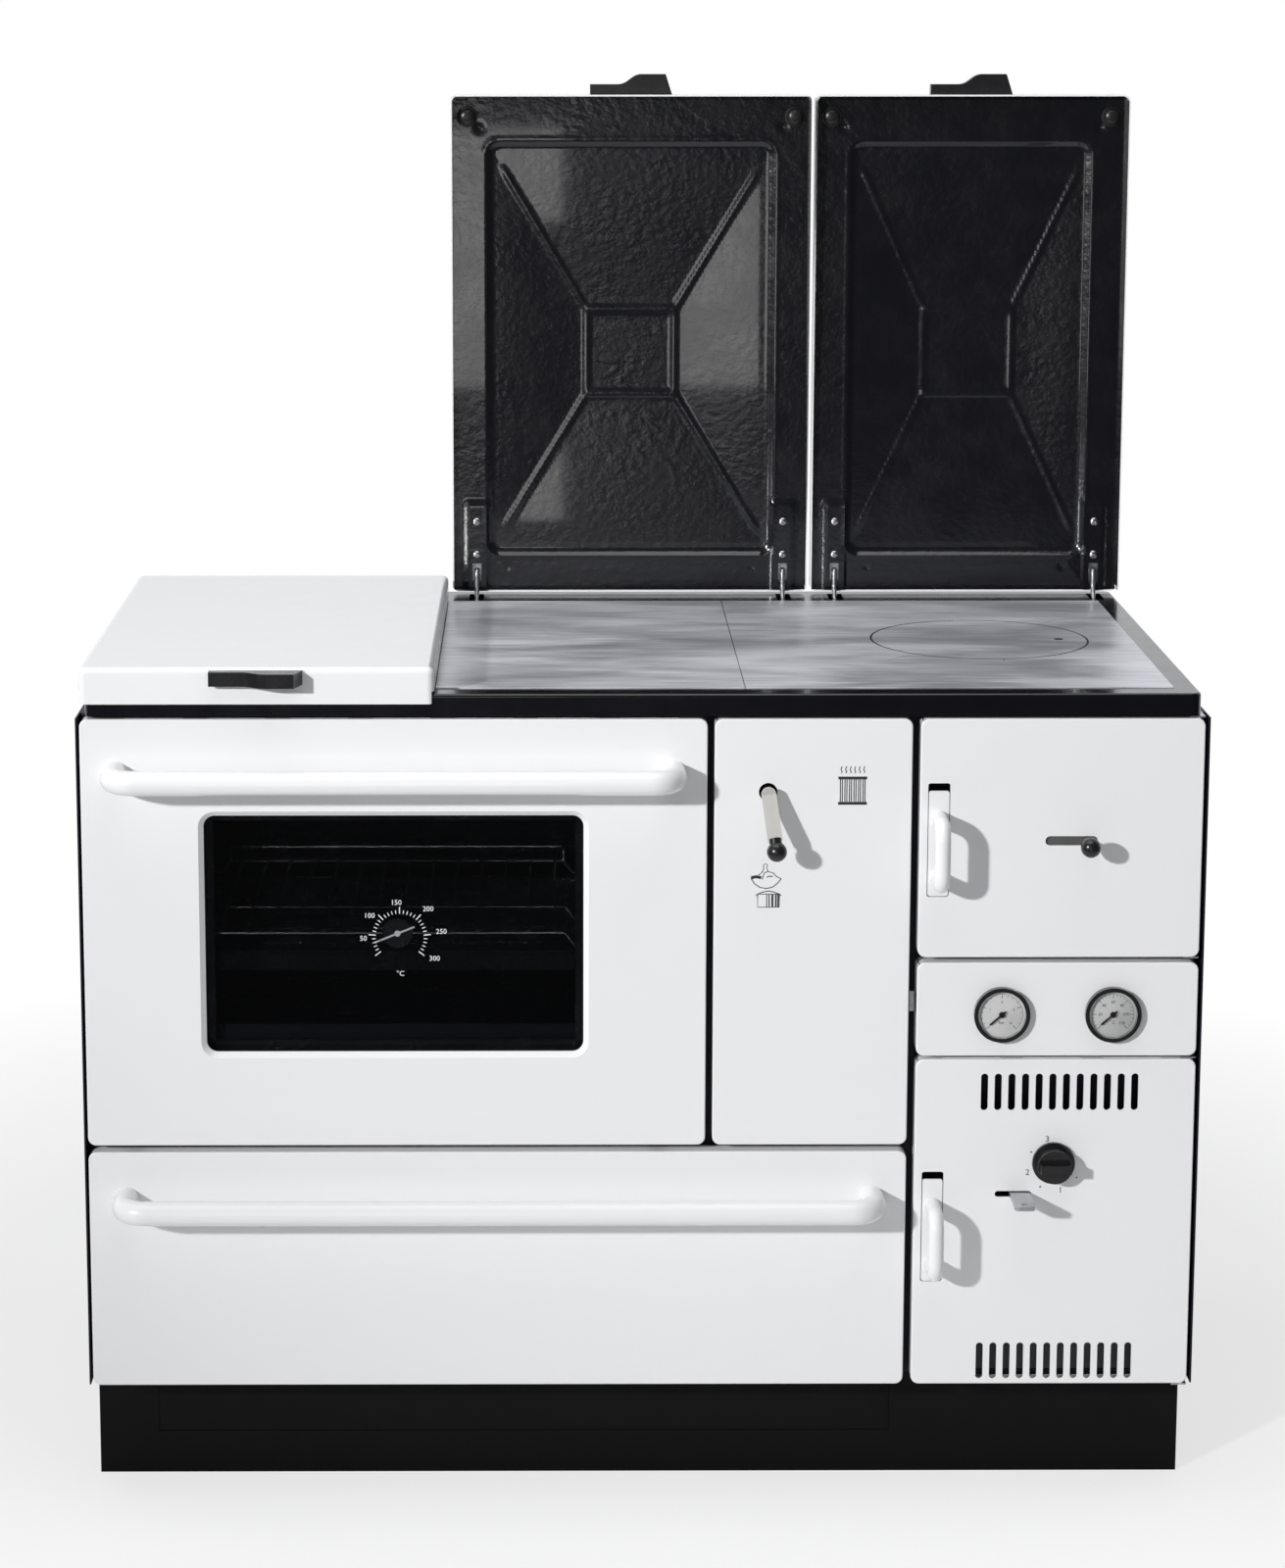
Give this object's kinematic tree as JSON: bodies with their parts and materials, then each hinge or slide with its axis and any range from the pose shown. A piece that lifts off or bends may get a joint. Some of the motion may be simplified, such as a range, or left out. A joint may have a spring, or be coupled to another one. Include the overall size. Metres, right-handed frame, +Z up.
{
  "type": "solid-fuel range cooker",
  "caption": "Free-standing solid-fuel range cooker: cast iron hob under hinged lids, oven, fire and ash doors, gauges, fuel drawer, boiler, rear flue.",
  "frame": {"origin": "on the floor, under the middle of the cooker", "axes": "+X to the right, +Y away from the person at the front, +Z up"},
  "size_m": [1.1, 0.714, 1.4],
  "materials": {
    "white_enamel": "gloss enamel",
    "black_enamel": "gloss enamel",
    "casing_paint": "satin powder coat",
    "plinth_paint": "satin powder coat",
    "hob_enamel": "gloss enamel on cast iron",
    "ground_iron": "ground and lightly brushed",
    "raw_iron": "as cast",
    "chrome_wire": "bright",
    "handle_steel": "fine brushed",
    "zinc_steel": "zinc plated",
    "boiler_paint": "matt heat-resistant paint",
    "firebrick": "rough",
    "door_glass": "tinted, polished",
    "bakelite": "gloss",
    "gauge_metal": "bright",
    "needle_black": "painted black",
    "needle_white": "painted white"
  },
  "bodies": {
    "root": {"base_frame": "plinth_paint", "left_side_panel": "casing_paint", "right_side_panel": "casing_paint", "rear_panel": "zinc_steel", "front_frame": "casing_paint", "door_hinge_pins": "zinc_steel", "middle_panel": "white_enamel", "gauge_panel": "white_enamel", "hob_frame": "hob_enamel", "left_hob_plate": "ground_iron", "centre_hob_plate": "ground_iron", "right_hob_plate": "ground_iron", "oven_liner": "black_enamel", "oven_rack": "chrome_wire", "baking_tray": "black_enamel", "gauge_cases": "gauge_metal", "flue_box": "boiler_paint", "boiler_body": "boiler_paint", "pipe_sockets": "zinc_steel", "firebricks": "firebrick", "ash_pan": "zinc_steel", "drawer_runners": "zinc_steel"},
    "hob_ring": {"hob_ring": "ground_iron"},
    "left_lid": {"left_lid_shell": "white_enamel", "left_lid_liner": "black_enamel", "left_lid_handle": "bakelite", "left_lid_hinges": "zinc_steel"},
    "centre_lid": {"centre_lid_shell": "white_enamel", "centre_lid_liner": "black_enamel", "centre_lid_handle": "bakelite", "centre_lid_hinges": "zinc_steel"},
    "right_lid": {"right_lid_shell": "white_enamel", "right_lid_liner": "black_enamel", "right_lid_handle": "bakelite", "right_lid_hinges": "zinc_steel"},
    "oven_door": {"oven_door_skin": "white_enamel", "oven_door_liner": "black_enamel", "oven_door_glass": "door_glass", "oven_door_handle": "white_enamel", "oven_thermometer": "bakelite"},
    "thermometer_needle": {"thermometer_needle": "needle_white"},
    "pressure_needle": {"pressure_needle": "needle_black"},
    "temperature_needle": {"temperature_needle": "needle_black"},
    "flue_damper": {"flue_lever": "handle_steel", "flue_lever_knob": "bakelite", "flue_flap": "zinc_steel"},
    "grate": {"riddling_grate": "raw_iron", "riddling_bar": "zinc_steel"},
    "fire_door": {"fire_door_skin": "white_enamel", "fire_door_inner": "raw_iron"},
    "fire_latch": {"fire_door_handle": "white_enamel"},
    "fire_air_slide": {"fire_air_slide": "black_enamel"},
    "ash_door": {"ash_door_skin": "white_enamel", "ash_door_inner": "raw_iron"},
    "ash_latch": {"ash_door_handle": "white_enamel"},
    "thermostat_knob": {"thermostat_knob": "bakelite"},
    "air_flap": {"air_flap": "zinc_steel"},
    "drawer": {"drawer_front": "white_enamel", "drawer_box": "casing_paint", "drawer_handle": "white_enamel"}
  },
  "joints": [
    {"name": "left_lid_hinge", "type": "hinge", "parent": "root", "child": "left_lid", "pos_m": [-0.374, 0.262, 0.812], "axis": [-1, 0, 0], "range_deg": [0, 90]},
    {"name": "centre_lid_hinge", "type": "hinge", "parent": "root", "child": "centre_lid", "pos_m": [0, 0.262, 0.812], "axis": [-1, 0, 0], "range_deg": [-90, 0]},
    {"name": "right_lid_hinge", "type": "hinge", "parent": "root", "child": "right_lid", "pos_m": [0.374, 0.262, 0.812], "axis": [-1, 0, 0], "range_deg": [-90, 0]},
    {"name": "hob_ring_lift", "type": "slide", "parent": "root", "child": "hob_ring", "axis": [0, 0, 1], "range_m": [0, 0.06]},
    {"name": "oven_door_hinge", "type": "hinge", "parent": "root", "child": "oven_door", "pos_m": [-0.24175, -0.29, 0.3795], "axis": [1, 0, 0], "range_deg": [0, 90]},
    {"name": "thermometer_turn", "type": "hinge", "parent": "oven_door", "child": "thermometer_needle", "pos_m": [-0.24, -0.2849, 0.581], "axis": [0, 1, 0], "range_deg": [-14, 237]},
    {"name": "pressure_gauge_turn", "type": "hinge", "parent": "root", "child": "pressure_needle", "pos_m": [0.3526, -0.3045, 0.503], "axis": [0, 1, 0], "range_deg": [0, 270]},
    {"name": "temperature_gauge_turn", "type": "hinge", "parent": "root", "child": "temperature_needle", "pos_m": [0.4617, -0.3045, 0.503], "axis": [0, 1, 0], "range_deg": [0, 270]},
    {"name": "flue_lever_turn", "type": "hinge", "parent": "root", "child": "flue_damper", "pos_m": [0.1215, -0.312, 0.726], "axis": [0, -1, 0], "range_deg": [0, 82.5]},
    {"name": "grate_shake", "type": "slide", "parent": "root", "child": "grate", "axis": [1, 0, 0], "range_m": [-0.013, 0]},
    {"name": "fire_door_hinge", "type": "hinge", "parent": "root", "child": "fire_door", "pos_m": [0.54, -0.295, 0.679], "axis": [0, 0, 1], "range_deg": [0, 110]},
    {"name": "fire_latch_lift", "type": "slide", "parent": "fire_door", "child": "fire_latch", "axis": [0, 0, 1], "range_m": [0, 0.007]},
    {"name": "fire_air_slide_move", "type": "slide", "parent": "fire_door", "child": "fire_air_slide", "axis": [1, 0, 0], "range_m": [-0.032, 0.006]},
    {"name": "ash_door_hinge", "type": "hinge", "parent": "root", "child": "ash_door", "pos_m": [0.54, -0.295, 0.2885], "axis": [0, 0, 1], "range_deg": [0, 110]},
    {"name": "ash_latch_lift", "type": "slide", "parent": "ash_door", "child": "ash_latch", "axis": [0, 0, 1], "range_m": [0, 0.007]},
    {"name": "thermostat_turn", "type": "hinge", "parent": "ash_door", "child": "thermostat_knob", "pos_m": [0.4067, -0.31, 0.351], "axis": [0, 1, 0], "range_deg": [0, 225]},
    {"name": "air_flap_swing", "type": "hinge", "parent": "ash_door", "child": "air_flap", "pos_m": [0.41, -0.2757, 0.221], "axis": [1, 0, 0], "range_deg": [0, 20]},
    {"name": "drawer_slide", "type": "slide", "parent": "root", "child": "drawer", "axis": [0, -1, 0], "range_m": [0, 0.4]}
  ],
  "couplings": [
    {"joint": "air_flap_swing", "follows": "thermostat_turn", "ratio": 0.088889}
  ]
}
